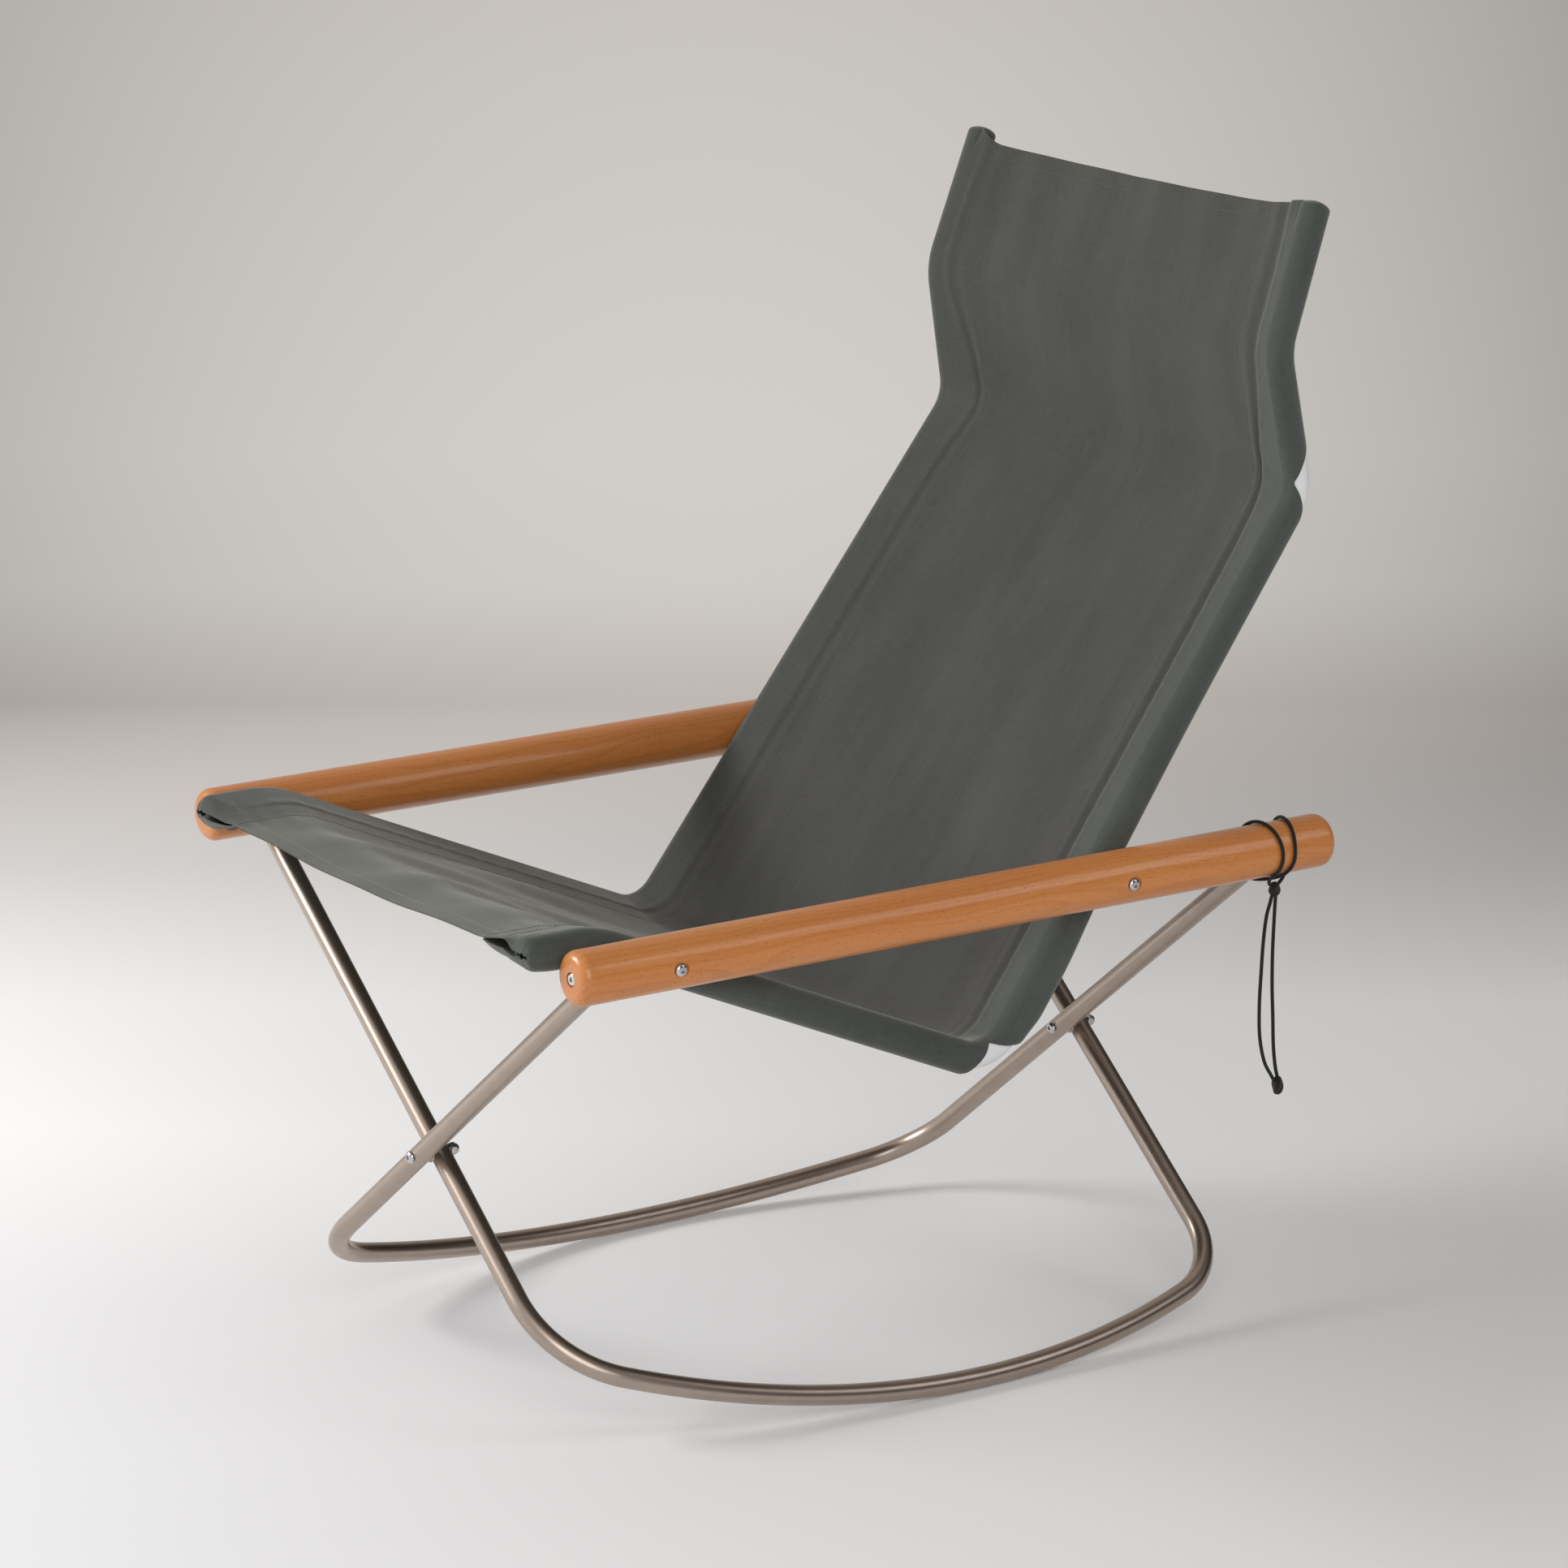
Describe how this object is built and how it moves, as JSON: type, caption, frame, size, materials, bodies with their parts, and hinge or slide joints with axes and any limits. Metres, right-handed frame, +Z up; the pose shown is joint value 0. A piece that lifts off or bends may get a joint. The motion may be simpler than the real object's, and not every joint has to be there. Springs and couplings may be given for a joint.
{
  "type": "rocking chair",
  "caption": "Folding rocking chair: crossed bent-tube frames with curved runners, round wooden arms and a high-backed grey canvas sling with a loop of tie cord.",
  "frame": {"origin": "on the floor, below the middle of the chair's bounding box without its tie cord", "axes": "+X towards the sitter's left, +Y towards the back, +Z up; the sitter faces -Y"},
  "size_m": [0.6199, 0.7794, 0.9396],
  "materials": {
    "beech": "satin varnish, pore grain along the bar",
    "nickelled_tube": "satin nickel plate",
    "bright_steel": "zinc plated",
    "nylon": "moulded",
    "white_tube": "white powder coat",
    "black_plastic": "moulded",
    "canvas": "heavy woven cotton canvas, stitched",
    "cord": "braided elastic cord"
  },
  "bodies": {
    "left_frame": {"leg_frame_left": "nickelled_tube", "leg_bush_left_front": "bright_steel", "leg_bush_left_rear": "bright_steel", "scissor_bolt_front": "bright_steel", "scissor_bolt_rear": "bright_steel", "scissor_washer_front": "nylon", "scissor_washer_rear": "nylon", "scissor_cap_nut_front": "bright_steel", "scissor_cap_nut_rear": "bright_steel"},
    "right_frame": {"leg_frame_right": "nickelled_tube", "leg_bush_right_front": "bright_steel", "leg_bush_right_rear": "bright_steel"},
    "left_arm": {"armrest_left": "beech", "arm_end_screw_left_front": "bright_steel", "arm_end_screw_left_rear": "bright_steel", "side_tube_left": "white_tube", "side_tube_plug_left_front": "black_plastic", "side_tube_plug_left_top": "black_plastic", "side_bolt_left_front": "bright_steel", "side_bolt_left_rear": "bright_steel", "side_bolt_insert_left_front": "bright_steel", "side_bolt_insert_left_rear": "bright_steel", "sling_sleeve_left": "canvas", "sling_panel": "canvas", "tie_cord_winding": "cord", "tie_cord_knot": "cord", "tie_cord_tail_front": "cord", "tie_cord_tail_rear": "cord", "tie_cord_end_knot": "cord"},
    "right_arm": {"armrest_right": "beech", "arm_end_screw_right_front": "bright_steel", "arm_end_screw_right_rear": "bright_steel", "side_tube_right": "white_tube", "side_tube_plug_right_front": "black_plastic", "side_tube_plug_right_top": "black_plastic", "side_bolt_right_front": "bright_steel", "side_bolt_right_rear": "bright_steel", "side_bolt_insert_right_front": "bright_steel", "side_bolt_insert_right_rear": "bright_steel", "sling_sleeve_right": "canvas"}
  },
  "joints": [
    {"name": "fold", "type": "hinge", "parent": "left_frame", "child": "right_frame", "pos_m": [0, -0.33434, 0.19997], "axis": [0, 1, 0], "range_deg": [0, 81.6], "deforming": ["sling_panel"]},
    {"name": "left_arm_pivot", "type": "hinge", "parent": "left_frame", "child": "left_arm", "pos_m": [0.2855, -0.33434, 0.42303], "axis": [0, 1, 0], "range_deg": [0, 40.8]},
    {"name": "right_arm_pivot", "type": "hinge", "parent": "right_frame", "child": "right_arm", "pos_m": [-0.2855, -0.31594, 0.42303], "axis": [0, -1, 0], "range_deg": [0, 40.8]}
  ],
  "couplings": [
    {"joint": "left_arm_pivot", "follows": "fold", "ratio": 0.5},
    {"joint": "right_arm_pivot", "follows": "fold", "ratio": 0.5}
  ]
}
